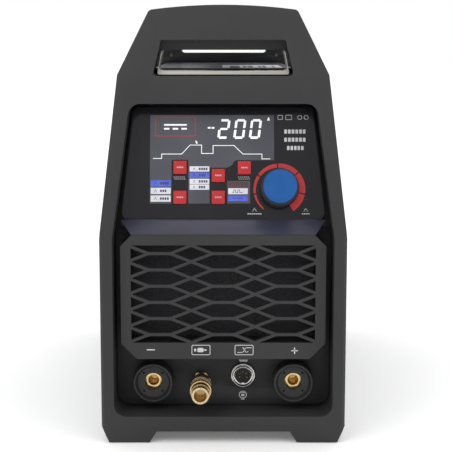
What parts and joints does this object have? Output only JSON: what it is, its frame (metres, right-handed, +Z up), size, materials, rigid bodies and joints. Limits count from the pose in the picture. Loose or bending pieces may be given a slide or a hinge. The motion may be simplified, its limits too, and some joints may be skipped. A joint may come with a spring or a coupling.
{
  "type": "tig welding machine",
  "caption": "Portable TIG welding inverter with a leaned control panel, honeycomb air grille, recessed welding sockets and gas coupling, folded steel case and carrying grip.",
  "frame": {"origin": "centre of the machine's footprint, on the surface it stands on", "axes": "-Y is the front with the control panel, +X is the right-hand side seen from the front, +Z is up"},
  "size_m": [0.21, 0.446, 0.375],
  "materials": {
    "frame_moulding": "fine spark-eroded grain",
    "fascia_moulding": "satin",
    "gloss_overlay": "gloss",
    "display_grey": "gloss",
    "painted_steel": "gloss powder coat",
    "zinc_steel": "zinc plated",
    "screw_steel": "zinc plated",
    "brass": "machined",
    "chrome": "plated",
    "aluminium": "extruded",
    "rubber": "matt",
    "black_nylon": "satin",
    "knob_blue": "satin",
    "button_red": "satin",
    "board_green": "solder mask",
    "copper_wound": "enamelled wire",
    "filter_foam": "open mesh",
    "plate": "printed plate"
  },
  "bodies": {
    "root": {"arch_screws": "screw_steel", "base_screws": "screw_steel", "base_tray": "zinc_steel", "board_screws": "screw_steel", "board_supports": "zinc_steel", "cable_gland": "black_nylon", "case_cover": "painted_steel", "control_board": "board_green", "control_fascia": "fascia_moulding", "cover_screws": "screw_steel", "display_lens": "display_grey", "display_module": "black_nylon", "dust_filter": "filter_foam", "earth_stud": "screw_steel", "encoder_body": "black_nylon", "fan_frame": "black_nylon", "fan_guard": "screw_steel", "fan_screws": "screw_steel", "foot_pads": "rubber", "front_frame": "frame_moulding", "front_handle_liner": "zinc_steel", "gas_coupling_body": "brass", "gas_inlet": "brass", "gas_valve_body": "brass", "grille_panel": "fascia_moulding", "grip_pad": "rubber", "handle_grip": "black_nylon", "handle_screws": "screw_steel", "heat_sinks": "aluminium", "main_transformer": "copper_wound", "negative_socket_collar": "black_nylon", "negative_socket_contact": "brass", "output_choke": "copper_wound", "panel_overlay": "gloss_overlay", "positive_socket_collar": "black_nylon", "positive_socket_contact": "brass", "power_board": "board_green", "power_switch_body": "black_nylon", "rating_plate": "plate", "rear_frame": "frame_moulding", "rear_panel": "painted_steel", "remote_socket_contacts": "brass", "remote_socket_insert": "black_nylon", "remote_socket_nut": "chrome", "remote_socket_shell": "chrome", "socket_lock_nuts": "brass", "socket_panel": "fascia_moulding"},
    "encoder_rotor": {"encoder_rotor": "black_nylon"},
    "knob": {"encoder_shaft": "screw_steel", "knob_body": "black_nylon", "knob_cap": "knob_blue"},
    "gas_sleeve": {"gas_coupling_sleeve": "brass"},
    "power_rocker": {"power_switch_rocker": "black_nylon"},
    "fan": {"fan_rotor": "black_nylon"},
    "valve_plunger": {"gas_valve_plunger": "screw_steel"},
    "mode_button": {"mode_button": "button_red"},
    "stop_button": {"stop_button": "button_red"},
    "trigger_button": {"trigger_button": "button_red"},
    "pulse_button": {"pulse_button": "button_red"},
    "save_button": {"save_button": "button_red"}
  },
  "joints": [
    {"name": "knob_turn", "type": "hinge", "parent": "root", "child": "encoder_rotor", "pos_m": [0.0486, -0.17263, 0.21671], "axis": [0, -0.9659, 0.2588], "continuous": true},
    {"name": "knob_push", "type": "slide", "parent": "encoder_rotor", "child": "knob", "axis": [0, 0.9659, -0.2588], "range_m": [0, 0.0008], "stiffness_N_per_m": 5000, "springref_m": -0.0003},
    {"name": "gas_sleeve_slide", "type": "slide", "parent": "root", "child": "gas_sleeve", "axis": [0, 1, 0], "range_m": [0, 0.005], "stiffness_N_per_m": 900, "springref_m": -0.004},
    {"name": "power_rocker_tilt", "type": "hinge", "parent": "root", "child": "power_rocker", "pos_m": [-0.056, 0.176, 0.232], "axis": [1, 0, 0], "range_deg": [-24, 0]},
    {"name": "fan_spin", "type": "hinge", "parent": "root", "child": "fan", "pos_m": [0, 0.16, 0.092], "axis": [0, 1, 0], "continuous": true},
    {"name": "valve_lift", "type": "slide", "parent": "root", "child": "valve_plunger", "axis": [0, 0, 1], "range_m": [0, 0.0015], "stiffness_N_per_m": 500, "springref_m": -0.002},
    {"name": "mode_button_press", "type": "slide", "parent": "root", "child": "mode_button", "axis": [0, 0.9659, -0.2588], "range_m": [0, 0.0008], "stiffness_N_per_m": 3000, "springref_m": -0.0004},
    {"name": "stop_button_press", "type": "slide", "parent": "root", "child": "stop_button", "axis": [0, 0.9659, -0.2588], "range_m": [0, 0.0008], "stiffness_N_per_m": 3000, "springref_m": -0.0004},
    {"name": "trigger_button_press", "type": "slide", "parent": "root", "child": "trigger_button", "axis": [0, 0.9659, -0.2588], "range_m": [0, 0.0008], "stiffness_N_per_m": 3000, "springref_m": -0.0004},
    {"name": "pulse_button_press", "type": "slide", "parent": "root", "child": "pulse_button", "axis": [0, 0.9659, -0.2588], "range_m": [0, 0.0008], "stiffness_N_per_m": 3000, "springref_m": -0.0004},
    {"name": "save_button_press", "type": "slide", "parent": "root", "child": "save_button", "axis": [0, 0.9659, -0.2588], "range_m": [0, 0.0008], "stiffness_N_per_m": 3000, "springref_m": -0.0004}
  ]
}
